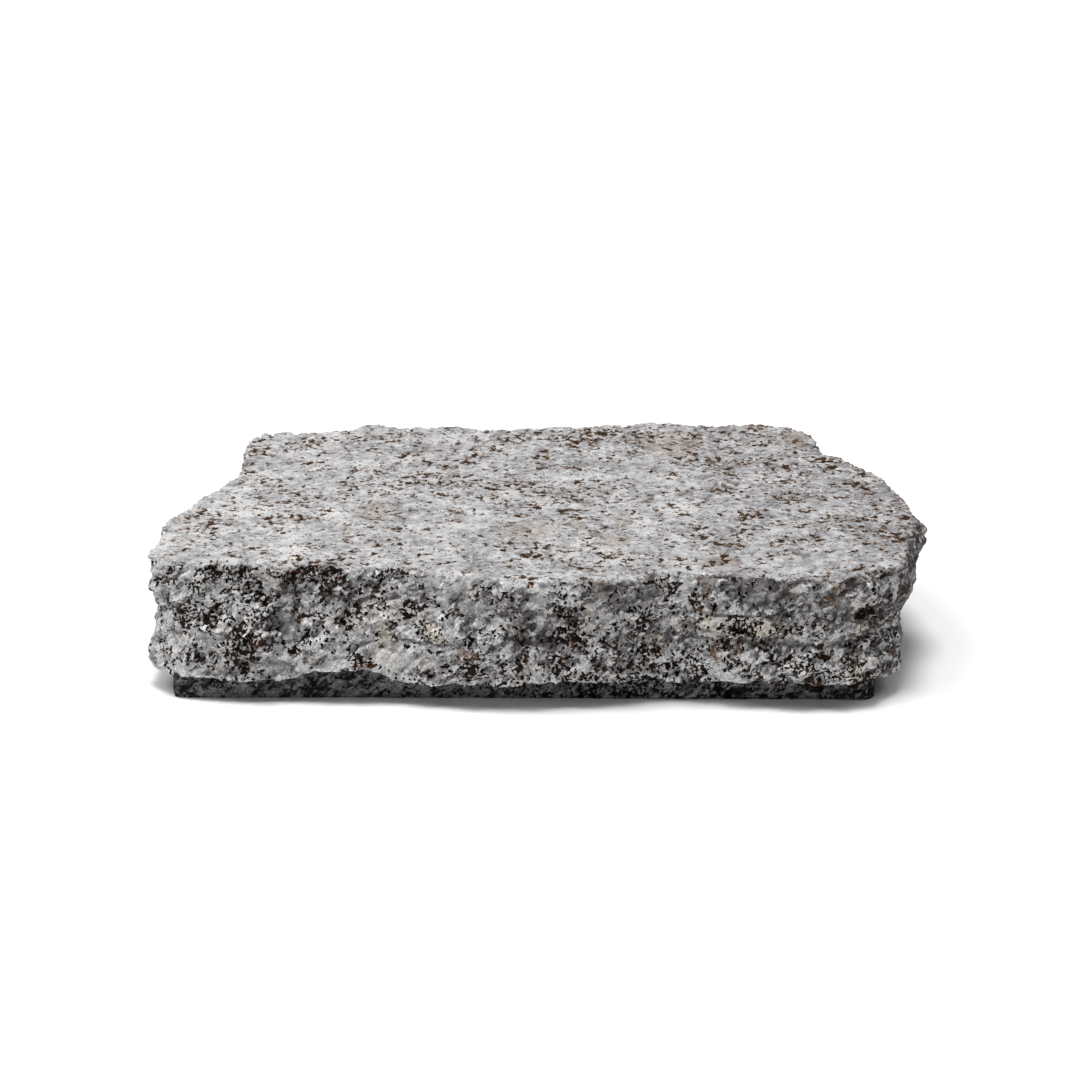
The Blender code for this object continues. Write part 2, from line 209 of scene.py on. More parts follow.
class StoneSettings(bpy.types.PropertyGroup):
    """Sizes of the relief and the colours of the minerals."""

    top_spacing: length("Top spacing", "Distance between the points of the flat top", 1.7)
    facet_size: length("Facet size", "Width of a flat broken facet on the sides", 9.0)
    facet_slope: number("Facet slope", "Rise over run of a broken facet", 0.30)
    chip_size: length("Chip size", "Width of a small chip on the sides", 4.2)
    chip_slope: number("Chip slope", "Rise over run of a small chip", 0.32)
    crystal_size: length("Crystal size", "Width of one crystal of the granite", 2.0)
    crystal_slope: number("Crystal slope", "Rise over run of the break of a crystal", 0.22)
    edge_wear: length("Edge wear", "Depth of the crumbs missing along the rim of the top", 1.25)
    pit_depth: length("Pit depth", "Depth of the small pits in the top", 0.4)
    feldspar: colour("Feldspar", "Colour of the white feldspar", (0.635, 0.635, 0.64))
    quartz: colour("Quartz", "Colour of the grey quartz", (0.208, 0.196, 0.200))
    mica: colour("Mica", "Colour of the dark mica", (0.006, 0.004, 0.003))
    worn: colour("Worn top", "Colour of the worn crystals of the top", (0.54, 0.536, 0.545))


class StageSettings(bpy.types.PropertyGroup):
    """The camera, the lights and the floor."""

    camera_height: number(
        "Camera elevation", "Camera's angle above the level", math.radians(21.0), subtype="ANGLE"
    )
    camera_distance: length("Camera distance", "Distance from the camera to its target", 1115.0)
    focal_length: number("Focal length", "Focal length of the lens, in millimetres", 90.0)
    floor_size: length("Floor size", "Width of the floor", 16000.0)
    left_light: number("Left light", "Strength of the soft light above on the left", 1.2)
    top_light: number("Top light", "Strength of the soft light straight above", 2.36)
    right_light: number("Right light", "Strength of the soft light above on the right", 0.5)
    front_light: number("Front light", "Strength of the low light in front", 0.7)
    fill: number("Fill", "Strength of the even light from all round", 0.06)


# ---------- node trees


class Socket:
    """A socket of a node tree that adds Math or Vector Math nodes when it is reckoned with."""

    def __init__(self, nodes, socket):
        self.nodes = nodes
        self.socket = socket

    def reckon(self, operation, *others):
        """A Math node, or a Vector Math node where any value is a vector or a colour."""
        values = [self, *others]
        kinds = [one.socket.type if isinstance(one, Socket) else type(one) for one in values]
        vector = any(kind in ("VECTOR", "RGBA", tuple) for kind in kinds)
        if vector:
            values = [(one,) * 3 if isinstance(one, (int, float)) else one for one in values]
        kind = "ShaderNodeVectorMath" if vector else "ShaderNodeMath"
        return self.nodes.add(kind, {"operation": operation}, dict(enumerate(values))).out(0)

    def __add__(self, other):
        return self.reckon("ADD", other)

    __radd__ = __add__

    def __mul__(self, other):
        return self.reckon("MULTIPLY", other)

    __rmul__ = __mul__

    def __sub__(self, other):
        return self.reckon("SUBTRACT", other)

    def __rsub__(self, other):
        return (self * -1.0) + other

    def __truediv__(self, other):
        return self.reckon("DIVIDE", other)

    def at_least(self, other):
        return self.reckon("MAXIMUM", other)

    def at_most(self, other):
        return self.reckon("MINIMUM", other)

    def size(self):
        return self.reckon("ABSOLUTE")

    def dot(self, other):
        """Dot product with another vector, as a number."""
        settings = {"operation": "DOT_PRODUCT"}
        return self.nodes.add("ShaderNodeVectorMath", settings, {0: self, 1: other}).out("Value")

    def part(self, axis):
        """One of the three parts of this vector or colour."""
        return self.nodes.add("ShaderNodeSeparateXYZ", {}, {0: self}).out(axis)

    def step(self, start, end):
        """0 before start, 1 past end and smooth between them; start may be above end."""
        node = self.nodes.add(
            "ShaderNodeMapRange",
            {"interpolation_type": "SMOOTHSTEP", "clamp": True},
            {"Value": self, "From Min": start, "From Max": end, "To Min": 0.0, "To Max": 1.0},
        )
        return node.out(0)


class Node:
    """A node whose outputs are read by name or number."""

    def __init__(self, nodes, node):
        self.nodes = nodes
        self.node = node

    def out(self, name):
        return Socket(self.nodes, self.node.outputs[name])


class Nodes:
    """The nodes of one shader or geometry tree."""

    def __init__(self, tree):
        self.tree = tree

    def add(self, kind, settings, values):
        """A node of a kind: first its settings are made, then its inputs' values or links."""
        node = self.tree.nodes.new(kind)
        for name, value in settings.items():
            setattr(node, name, value)
        for name, value in values.items():
            if isinstance(value, Socket):
                self.tree.links.new(value.socket, node.inputs[name])
            else:
                node.inputs[name].default_value = value
        return Node(self, node)

    def mix(self, share, first, second):
        """A blend of two colours."""
        values = [one if isinstance(one, Socket) else (*one, 1.0) for one in (first, second)]
        settings = {"data_type": "RGBA", "clamp_factor": True}
        return self.add("ShaderNodeMix", settings, {0: share, 6: values[0], 7: values[1]}).out(2)

    def ramp(self, value, colours):
        """A colour read from a ramp of colours by place."""
        node = self.add("ShaderNodeValToRGB", {}, {"Fac": value})
        elements = node.node.color_ramp.elements
        while len(elements) < len(colours):
            elements.new(1.0)
        for element, (place, shade) in zip(elements, sorted(colours.items())):
            element.position = place
            element.color = (*shade, 1.0)
        return node.out("Color")

    def attribute(self, name, vector=False):
        """A number or a vector stored on the mesh, in a shader or a geometry tree."""
        if self.tree.bl_idname == "ShaderNodeTree":
            node = self.add("ShaderNodeAttribute", {"attribute_name": name}, {})
            return node.out("Vector" if vector else "Fac")
        settings = {"data_type": "FLOAT_VECTOR" if vector else "FLOAT"}
        return self.add("GeometryNodeInputNamedAttribute", settings, {"Name": name}).out(0)

    def noise(self, place, size, seed, detail, roughness):
        """Noise of a size in millimetres, around 0.5."""
        values = {"Vector": scaled(place, size, seed), "Scale": 1.0}
        values |= {"Detail": detail, "Roughness": roughness}
        return self.add("ShaderNodeTexNoise", {"noise_dimensions": "3D"}, values)

    def cells(self, place, size, seed, blend=0.0, feature="F1"):
        """Cells of a size in millimetres, which run into each other where blend is above 0."""
        values = {"Vector": scaled(place, size, seed), "Scale": 1.0}
        if blend:
            feature = "SMOOTH_F1"
            values["Smoothness"] = blend
        settings = {"voronoi_dimensions": "3D", "feature": feature}
        return self.add("ShaderNodeTexVoronoi", settings, values)

    def gaps(self, place, size, seed):
        """Distance from the border between two cells, as a share of their size."""
        return self.cells(place, size, seed, feature="DISTANCE_TO_EDGE").out("Distance")


# ---------- patterns of mesh and material


# Noise by name: size in millimetres, seed, detail and roughness
NOISES = {
    "swell": (15.0, 5.0, 2.0, 0.5),
    "dents": (4.0, 9.0, 2.0, 0.6),
    "crumbs": (3.0, 2.5, 2.0, 0.6),
    "cluster": (8.5, 4.0, 3.0, 0.62),
    "region": (55.0, 6.0, 1.0, 0.5),
    "flakes": (2.5, 7.0, 2.0, 0.55),
    "dust": (0.5, 1.5, 3.0, 0.7),
    "zone": (20.0, 2.2, 2.0, 0.5),
    "streak": (5.5, 7.7, 3.0, 0.6),
    "hue": (13.0, 9.4, 2.0, 0.5),
    "ragged": (2.2, 10.5, 3.0, 0.65),
    "lines": (2.2, 6.6, 3.0, 0.65),
    "hairs": (1.1, 3.6, 2.0, 0.6),
    "wisps": (4.2, 13.0, 2.0, 0.5),
    "rust": (6.0, 11.0, 2.0, 0.6),
    "ripple": (1.6, 14.0, 2.0, 0.6),
}

# Seeds of the crystals, and the size in millimetres and the seed of the grains and the specks
CRYSTAL_SEED, GRAIN, SPECK = 2.0, (0.95, 5.0), (0.6, 8.0)

# Seed and bend in millimetres of the facets and the chips of the sides, and how far cells run
# into each other
BREAKS = (("Facet", 3.0, 2.0), ("Chip", 8.0, 1.2))
BREAK_BLEND, CRYSTAL_BLEND = 0.08, 0.1

# The grain of the rock: its slant, and how much places are squeezed along and across it
GRAIN_SLANT = math.radians(28.0)
GRAIN_SQUEEZE = (0.72, 0.85, 1.2)


def scaled(place, size, seed):
    """Places in units of a size, shifted by a seed so that two patterns don't coincide."""
    return (place + (seed * 5.9, seed * 11.3, seed * 2.7)) / size


def noise_of(nodes, place, name):
    """Noise by name, around 0.5."""
    return nodes.noise(place, *NOISES[name]).out(0)


def threads(nodes, place, name, wide, narrow):
    """Thin winding lines, where a noise crosses its middle."""
    return (noise_of(nodes, place, name) - 0.5).size().step(wide, narrow)


def bent(nodes, place, reach, size, seed):
    """Places shifted by noise, which turns round cells into ragged crystals."""
    return place + (nodes.noise(place, size, seed, 2.0, 0.6).out("Color") - 0.5) * reach


def tilted(nodes, place, size, seed, blend):
    """Height of cells that each break along a plane of their own, as a share of their size."""
    cell = nodes.cells(place, size, seed, blend)
    away = scaled(place, size, seed) - cell.out("Position")
    return (cell.out("Color") - 0.5).dot(away) * 2.0


def slanted(nodes, place):
    """Places squeezed along a slant, so that facets lie along the grain of the rock."""
    values = {"Vector": place, "Angle": GRAIN_SLANT}
    turned = nodes.add("ShaderNodeVectorRotate", {"rotation_type": "Y_AXIS"}, values).out(0)
    return turned * GRAIN_SQUEEZE


def crystal_places(nodes, place, size):
    """Where the cells of the crystals are read, so that they are ragged and lie along the grain."""
    return bent(nodes, slanted(nodes, place), 1.4, size * 0.9, 1.0)


def crumbs_of(nodes, place):
    """Where crumbs are missing along the rim of the top, from 0 to 1."""
    return noise_of(nodes, place, "crumbs").step(0.45, 0.66)


def gathering(nodes, place):
    """How thick the mica lies from place to place, around 0: it gathers in loose clusters."""
    cluster = noise_of(nodes, place, "cluster") - 0.5
    region = noise_of(nodes, place, "region") - 0.5
    patch = nodes.attribute("mica").step(0.25, 0.95)
    x = place.part(0)
    # Less mica towards both ends lightens them: painted light at the left end, and less of the
    # painted shade at the right end
    ends = x.step(125.0, 160.0) * -0.03 - x.step(-142.0, -158.0) * 0.06
    return cluster * 0.85 + region * 0.35 + patch * 0.15 + ends


def flakes_of(nodes, place):
    """Ragged noise, around 0.5, whose peaks are single flakes of mica."""
    return noise_of(nodes, bent(nodes, place, 2.0, 1.5, 12.0), "flakes")


# ---------- the stone's mesh


def part_of(face):
    """Which part of the surface a packed face belongs to."""
    centre = face.calc_center_median()
    heights = [vertex.co.z for vertex in face.verts]
    up = face.normal.z
    if max(heights) < SOLE_BELOW:
        return SOLE
    if min(heights) < FOOT_BELOW:
        return FOOT
    if up < OVERHANG_SLOPE and centre.z < OVERHANG_BELOW:
        return OVERHANG
    if up > TOP_SLOPE and centre.z > HIGH.z - TOP_DEPTH:
        return TOP
    across = (centre.x - (LOW.x + HIGH.x) / 2) / (SIZE.x / 2)
    along = (centre.y - (LOW.y + HIGH.y) / 2) / (SIZE.y / 2)
    if abs(across) > abs(along):
        return RIGHT if across > 0 else LEFT
    return BACK if along > 0 else FRONT


def refined(node, spacing, weld=0.01 * MM):
    """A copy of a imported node, its sides cut finely and its top laid again in even triangles."""
    mesh = bmesh.new()
    mesh.from_mesh(node.data)
    bmesh.ops.remove_doubles(mesh, verts=mesh.verts[:], dist=weld)
    mesh.normal_update()
    ground = BVHTree.FromBMesh(mesh)
    layer = mesh.faces.layers.int.new("part")
    for face in mesh.faces:
        face[layer] = part_of(face)
    for part, cuts in SIDE_CUTS.items():
        edges = {edge for face in mesh.faces if face[layer] == part for edge in face.edges}
        edges = [edge for edge in edges if edge.calc_length() > SHORTEST_CUT]
        bmesh.ops.subdivide_edges(mesh, edges=edges, cuts=cuts, use_grid_fill=True)
        bmesh.ops.triangulate(mesh, faces=[face for face in mesh.faces if len(face.verts) > 3])
    lay_top(mesh, layer, ground, spacing)
    data = bpy.data.meshes.new(PIECE)
    mesh.to_mesh(data)
    mesh.free()
    return data


def lay_top(mesh, layer, ground, spacing, seed=5, shift=0.2, clear=0.7):
    """Replace the faces of the top by even triangles at the same heights, finer along the rim.

    Points are shifted at random and kept clear of the rim, by shares of the finer spacing.
    """
    old = [face for face in mesh.faces if face[layer] == TOP]
    rim = {edge for face in old for edge in face.edges}
    rim = [edge for edge in rim if sum(face[layer] == TOP for face in edge.link_faces) == 1]
    bmesh.ops.delete(mesh, geom=old, context="FACES")
    ring = list({vertex for edge in rim for vertex in edge.verts})
    ring.sort(key=lambda vertex: vertex.co.to_tuple())
    order = {vertex: index for index, vertex in enumerate(ring)}
    lines = sorted((order[edge.verts[0]], order[edge.verts[1]]) for edge in rim)
    near = tree_of([(vertex.co.x, vertex.co.y, 0.0) for vertex in ring])

    fine = spacing / 2
    row = fine * math.sqrt(0.75)
    jitter = np.random.default_rng(seed)
    points = [vertex.co.xy for vertex in ring]
    for j in range(int(SIZE.y / row) + 2):
        for i in range(int(SIZE.x / fine) + 2):
            coarse = j % 2 == 0 and (i - j // 2) % 2 == 0
            away = jitter.uniform(-shift, shift, 2) * fine * (2 if coarse else 1)
            x = LOW.x + (i + 0.5 * (j % 2)) * fine + away[0]
            y = LOW.y + j * row + away[1]
            gap = near.find((x, y, 0.0))[2]
            if gap > clear * fine and (coarse or gap < RIM_BAND):
                points.append(Vector((x, y)))
    places, _, triangles, kept, _, _ = geometry.delaunay_2d_cdt(points, lines, [], 1, 1e-7)

    made = {}
    for index in {index for triangle in triangles for index in triangle}:
        if kept[index][0] < len(ring):
            made[index] = ring[kept[index][0]]
            continue
        x, y = places[index]
        height = ground.ray_cast(Vector((x, y, 1.0)), Vector((0.0, 0.0, -1.0)))[0].z
        made[index] = mesh.verts.new((x, y, height))
    for triangle in triangles:
        face = mesh.faces.new([made[index] for index in triangle])
        face[layer] = TOP
    loose = [vertex for vertex in mesh.verts if not vertex.link_faces]
    bmesh.ops.delete(mesh, geom=loose, context="VERTS")
    mesh.normal_update()
    if any(len(edge.link_faces) != 2 for edge in mesh.edges):
        raise RuntimeError("the top of the stone doesn't close")


def tree_of(places):
    """A search tree over places."""
    tree = kdtree.KDTree(len(places))
    for index, place in enumerate(places):
        tree.insert(place, index)
    tree.balance()
    return tree


def read(data, name, kind, width):
    """Values of a mesh collection as an array, in rows where there is more than one each."""
    values = np.empty(len(data) * width, dtype=kind)
    data.foreach_get(name, values)
    return values.reshape(-1, width) if width > 1 else values


def unit(values):
    """Values kept between 0 and 1."""
    return np.clip(values, 0.0, 1.0)


def places_of(mesh):
    """The places of a mesh's vertices, in rows."""
    return read(mesh.vertices, "co", np.float64, 3)


def put(mesh, places):
    """Move a mesh's vertices."""
    mesh.vertices.foreach_set("co", places.ravel())
    mesh.update()


def corners_of(mesh):
    """The vertex at each corner of the triangles, and the part of the surface it lies on."""
    corners = read(mesh.loops, "vertex_index", np.int64, 1)
    return corners, np.repeat(read(mesh.attributes["part"].data, "value", np.int64, 1), 3)


def touches(mesh, parts):
    """Whether each vertex touches a face of one of the parts."""
    corners, part = corners_of(mesh)
    touched = np.zeros(len(mesh.vertices), dtype=bool)
    touched[corners[np.isin(part, parts)]] = True
    return touched


def soften(mesh, passes=2, kept=0.4):
    """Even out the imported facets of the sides, leaving the top and the sole as they are."""
    places = places_of(mesh)
    edges = read(mesh.edges, "vertices", np.int64, 2)
    fixed = touches(mesh, (TOP, SOLE))[:, None]
    count = np.bincount(edges.ravel(), minlength=len(places))[:, None]
    for _ in range(passes):
        total = np.zeros_like(places)
        np.add.at(total, edges[:, 0], places[edges[:, 1]])
        np.add.at(total, edges[:, 1], places[edges[:, 0]])
        evened = places * kept + total / count * (1.0 - kept)
        places = np.where(fixed, places, evened)
    put(mesh, places)


def break_front(mesh, share=0.9, end=5.0, step=0.5):
    """Add the named ledges and cracks of the front."""
    places = places_of(mesh) / MM
    x, _, z = places.T
    out = np.zeros(len(x))
    for line, depth, above, below in LEDGES:
        over = height_over(line, x, z)
        jut = np.where(over > 0, np.exp(-over / above), -np.exp(over / below))
        jut *= unit(np.abs(over) / step)
        out += share * depth * faded(line, x, end) * jut
    for line, half_width, depth in CRACKS:
        away = np.full(len(x), 1e9)
        for (x0, z0), (x1, z1) in zip(line, line[1:]):
            run, rise = x1 - x0, z1 - z0
            along = unit(((x - x0) * run + (z - z0) * rise) / (run**2 + rise**2))
            away = np.minimum(away, np.hypot(x - x0 - along * run, z - z0 - along * rise))
        out -= depth * unit(1.0 - away / half_width)
    front = touches(mesh, (FRONT,)) & ~touches(mesh, (TOP, RIGHT, LEFT))
    places[front, 1] -= out[front]
    put(mesh, places * MM)


def height_over(line, x, z):
    """How far each place lies above a line of (x, z)."""
    xs, zs = zip(*line)
    return z - np.interp(x, xs, zs)


def faded(line, x, reach):
    """1 along a line of (x, z), going down to 0 over a length at its two ends."""
    return unit(np.minimum(x - line[0][0], line[-1][0] - x) / reach)


def seams(places, end=3.0, half_width=1.5):
    """How near each place is to the line of a ledge of the front, from 0 to 1 on the line."""
    x, _, z = places.T
    near = np.zeros(len(x))
    for line, *_ in LEDGES:
        beside = unit(1.0 - np.abs(height_over(line, x, z)) / half_width)
        near = np.maximum(near, faded(line, x, end) * beside)
    return near


def mark(mesh):
    """Store what the relief and the material read: where things lay, what is broken, patches."""
    places = places_of(mesh)
    top = touches(mesh, (TOP,))
    sides = touches(mesh, (FRONT, RIGHT, BACK, LEFT))
    front = touches(mesh, (FRONT,))
    depth = distances(places, places[top & sides])
    rim = unit(1.0 - depth / RIM_BAND)
    lip = distances(places, places[touches(mesh, (OVERHANG,)) & sides])
    lip = unit(1.0 - lip / LIP_BAND)
    store(mesh, "broken", np.where(top, 0.0, 1.0))
    store(mesh, "rim", rim)
    store(mesh, "rough", roughness_of(mesh, places, front, lip) * ~top)
    store(mesh, "edge", unit(1.0 - depth / EDGE_BAND))
    store(mesh, "foot", touches(mesh, (FOOT, SOLE)) * 1.0)
    store(mesh, "lip", lip)
    store(mesh, "seam", seams(places / MM) * (front & ~top))
    store(mesh, "outward", outward(mesh, places, sides) * rim[:, None])
    store(mesh, "laid", places / MM)
    for mineral in MINERALS:
        field = np.zeros(len(places))
        for part, axis, chosen in ((FRONT, 2, front & ~top), (TOP, 1, top)):
            for x, other, half_width, half_height in PATCHES.get((mineral, part), []):
                across = (places[:, 0] / MM - x) / half_width
                up = (places[:, axis] / MM - other) / half_height
                near = unit(1.0 - np.hypot(across, up) / 2.0)
                field = np.where(chosen, np.maximum(field, near), field)
        store(mesh, mineral, field)


def roughness_of(mesh, places, front, lip):
    """How much of the broken relief each vertex takes: less at the lip and in calm places."""
    corners, parts = corners_of(mesh)
    rough = np.zeros(len(places))
    np.maximum.at(rough, corners, [ROUGHNESS_OF[part] for part in parts])
    rough[touches(mesh, (SOLE,))] = 0.0
    rough *= 1.0 - LIP_CALM * lip
    for x, z, radius in CALM:
        away = np.hypot(places[:, 0] / MM - x, places[:, 2] / MM - z)
        near = unit(1.5 - 1.5 * away / radius)
        rough = np.where(front, rough * (1.0 - CALM_SHARE * near), rough)
    return rough


def store(mesh, name, values):
    """Keep a number or a vector for each vertex."""
    kind, key = ("FLOAT", "value") if values.ndim == 1 else ("FLOAT_VECTOR", "vector")
    attribute = mesh.attributes.new(name, kind, "POINT")
    attribute.data.foreach_set(key, np.ascontiguousarray(values, dtype=np.float32).ravel())


def distances(places, targets):
    """Distance from each place to the nearest target."""
    tree = tree_of(targets)
    return np.array([tree.find(place)[2] for place in places])


def outward(mesh, places, sides, near_rim=2.0 * MM, far=6.0 * MM, count=12):
    """Level directions out of the stone, read from the sides just under the rim."""
    depth = HIGH.z - places[:, 2]
    band = sides & (depth > near_rim) & (depth < far)
    normals = read(mesh.vertex_normals, "vector", np.float64, 3)[band]
    flat = places[band] * (1.0, 1.0, 0.0)
    tree = tree_of(flat)
    found = np.zeros_like(places)
    for index, place in enumerate(places):
        if depth[index] < 2.0 * RIM_BAND:
            near = [hit[1] for hit in tree.find_n((place[0], place[1], 0.0), count)]
            found[index, :2] = normals[near, :2].sum(axis=0)
    return found / np.maximum(np.linalg.norm(found, axis=1), 1e-9)[:, None]


RELIEF_INPUTS = ("Facet size", "Facet slope", "Chip size", "Chip slope")
RELIEF_INPUTS += ("Crystal size", "Crystal slope", "Edge wear", "Pit depth")


def relief_tree():
    """Geometry Nodes that break the sides into facets, chips and crystals, and pit the top."""
    tree = bpy.data.node_groups.new("broken_granite_relief", "GeometryNodeTree")
    tree.interface.new_socket("Stone", in_out="INPUT", socket_type="NodeSocketGeometry")
    for name in RELIEF_INPUTS:
        tree.interface.new_socket(name, in_out="INPUT", socket_type="NodeSocketFloat")
    tree.interface.new_socket("Granite", in_out="INPUT", socket_type="NodeSocketMaterial")
    tree.interface.new_socket("Stone", in_out="OUTPUT", socket_type="NodeSocketGeometry")
    nodes = Nodes(tree)
    given = nodes.add("NodeGroupInput", {}, {})
    place = nodes.attribute("laid", vector=True)
    normal = nodes.add("GeometryNodeInputNormal", {}, {}).out(0)
    rim = nodes.attribute("rim")
    score = flakes_of(nodes, place) + gathering(nodes, place)

    # Facets, chips and crystals, each broken along planes of their own, with the mica set back
    grain = slanted(nodes, place)
    heights = []
    for name, seed, bend in BREAKS:
        size = given.out(name + " size") / MM
        ragged = bent(nodes, grain, bend, size * 0.6, seed + 1.0)
        height = tilted(nodes, ragged, size, seed, BREAK_BLEND)
        heights.append(height * given.out(name + " slope") * size)
    size = given.out("Crystal size") / MM
    ragged = crystal_places(nodes, place, size)
    crystal = tilted(nodes, ragged, size, CRYSTAL_SEED, CRYSTAL_BLEND)
    heights.append(crystal * given.out("Crystal slope") * size)
    broad = heights[0] + (noise_of(nodes, place, "swell") - 0.5) * 2.6
    detail = heights[1] + heights[2] - score.step(0.58, 0.70) * 0.30

    # Pits and shallow dents of the top, and the crumbs missing along its rim
    pits = score.step(0.62, 0.74) * given.out("Pit depth") * -1.0
    dents = (noise_of(nodes, place, "dents") - 0.5) * (0.9 * MM)
    flat = pits + dents - 0.1 * MM
    wear = crumbs_of(nodes, place) * rim * given.out("Edge wear")

    level = nodes.attribute("outward", vector=True) * (broad * 0.30 * MM - wear * 0.5)
    side = broad * (1.0 - rim) + detail * (1.0 - nodes.attribute("edge"))
    offset = normal * nodes.attribute("rough") * (side * MM) + level
    flat = (1.0 - nodes.attribute("broken")) * flat
    down = nodes.add("ShaderNodeCombineXYZ", {}, {"Z": flat - wear}).out(0)
    values = {"Geometry": given.out("Stone"), "Offset": offset + down}
    moved = nodes.add("GeometryNodeSetPosition", {}, values)
    whole = nodes.add("GeometryNodeRealizeInstances", {}, {"Geometry": moved.out(0)})
    values = {"Geometry": whole.out(0), "Material": given.out("Granite")}
    dressed = nodes.add("GeometryNodeSetMaterial", {}, values)
    nodes.add("NodeGroupOutput", {}, {"Stone": dressed.out(0)})
    return tree


def roughened(data, settings, material):
    """The mesh after the relief tree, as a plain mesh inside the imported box."""
    rough = bpy.data.objects.new(PIECE + "_rough", data)
    bpy.context.scene.collection.objects.link(rough)
    modifier = rough.modifiers.new("Relief", "NODES")
    modifier.node_group = relief_tree()
    values = {name: getattr(settings, name.lower().replace(" ", "_")) for name in RELIEF_INPUTS}
    values["Granite"] = material
    for item in modifier.node_group.interface.items_tree:
        if item.in_out == "INPUT" and item.name in values:
            modifier[item.identifier] = values[item.name]
    bpy.context.view_layer.update()
    evaluated = rough.evaluated_get(bpy.context.evaluated_depsgraph_get())
    mesh = bpy.data.meshes.new_from_object(evaluated)
    rough.modifiers.remove(modifier)
    bpy.data.objects.remove(rough)
    if len(mesh.vertices) != len(data.vertices):
        raise RuntimeError("the relief changed the number of vertices of the stone")
    put(mesh, np.clip(places_of(mesh), np.array(LOW), np.array(HIGH)))
    return mesh


def lay_out(mesh):
    """A UV map on one square: the top, four sides with the foot below, and the sole.

    It is laid out in millimetres, with gaps between its parts, and then scaled to the square.
    """
    gap, side_low, foot_height, sole_scale = 3.0, 7.0, 18.0, 0.38
    wide, deep, tall = SIZE / MM
    row = tall - side_low + foot_height + 2 * gap
    square = deep + 3 * row + 2 * gap

    corners, parts = corners_of(mesh)
    places = (places_of(mesh)[corners] - np.array(LOW)) / MM
    x, y, z = places.T
    centres = np.repeat(places.reshape(-1, 3, 3).mean(axis=1), 3, axis=0)
    across = centres[:, 0] / wide - 0.5
    along = centres[:, 1] / deep - 0.5
    ends = np.where(across > 0, RIGHT, LEFT)
    sector = np.where(np.abs(across) > np.abs(along), ends, np.where(along > 0, BACK, FRONT))
    foot = parts == FOOT
    side = np.where(foot, sector, parts)
    under = np.isin(parts, (SOLE, OVERHANG))
    u = np.where(under, wide + 2 * gap + y * sole_scale, x + gap)
    v = np.where(under, gap + x * sole_scale, y + gap)
    height = np.where(foot, z, z - side_low + foot_height + gap)
    for part, start, level, run in (
        (FRONT, gap, 0, x),
        (BACK, gap, 1, wide - x),
        (RIGHT, gap, 2, y),
        (LEFT, deep + 2 * gap, 2, deep - y),
    ):
        u = np.where(side == part, run + start, u)
        v = np.where(side == part, deep + 2 * gap + level * row + height, v)
    layer = mesh.uv_layers.new(name="OFBake")
    layer.data.foreach_set("uv", (np.stack([u, v], axis=1) / square).ravel().astype(np.float32))


# ---------- the granite


# Colours of the broken stone and of the worn top, by their places from dark to light, and where
# the colours of the settings lie among them, shaded by a factor
BODY_RAMP = {
    0.14: (0.050, 0.043, 0.037),
    0.38: (0.268, 0.256, 0.264),
    0.465: (0.510, 0.503, 0.522),
    0.77: (0.93, 0.935, 0.945),
}
TOP_RAMP = {
    0.22: (0.210, 0.205, 0.210),
    0.36: (0.400, 0.396, 0.408),
    0.56: (0.680, 0.673, 0.668),
    0.76: (0.820, 0.812, 0.790),
}
QUARTZ_PLACE, QUARTZ_SHADE = 0.27, 0.65
FELDSPAR_PLACE, FELDSPAR_SHADE = 0.57, 1.18
WORN_PLACE, WORN_SHARE = 0.46, 0.92

# Tints of the warm crystals and of the dark lines, and the painted shade along the ledges
CREAM_TINT = (1.05, 0.97, 0.85)
LINE_TINT = (0.34, 0.29, 0.25)
LEDGE_SHADE_BROWN = (0.070, 0.062, 0.052)

# Colours of rusty mica on the sides, of the flakes and their halos on the top, and of rust
MICA_BROWN = (0.030, 0.016, 0.009)
MICA_RUST = (0.155, 0.060, 0.020)
FLAKE_TAN = (0.140, 0.084, 0.042)
FLAKE_BROWN = (0.038, 0.020, 0.010)
HALO_TAN = (0.265, 0.190, 0.122)
RUST_OCHRE = (0.28, 0.150, 0.058)
RUST_BROWN = (0.12, 0.052, 0.022)

# How strongly the granite shines
SHEEN = 0.08


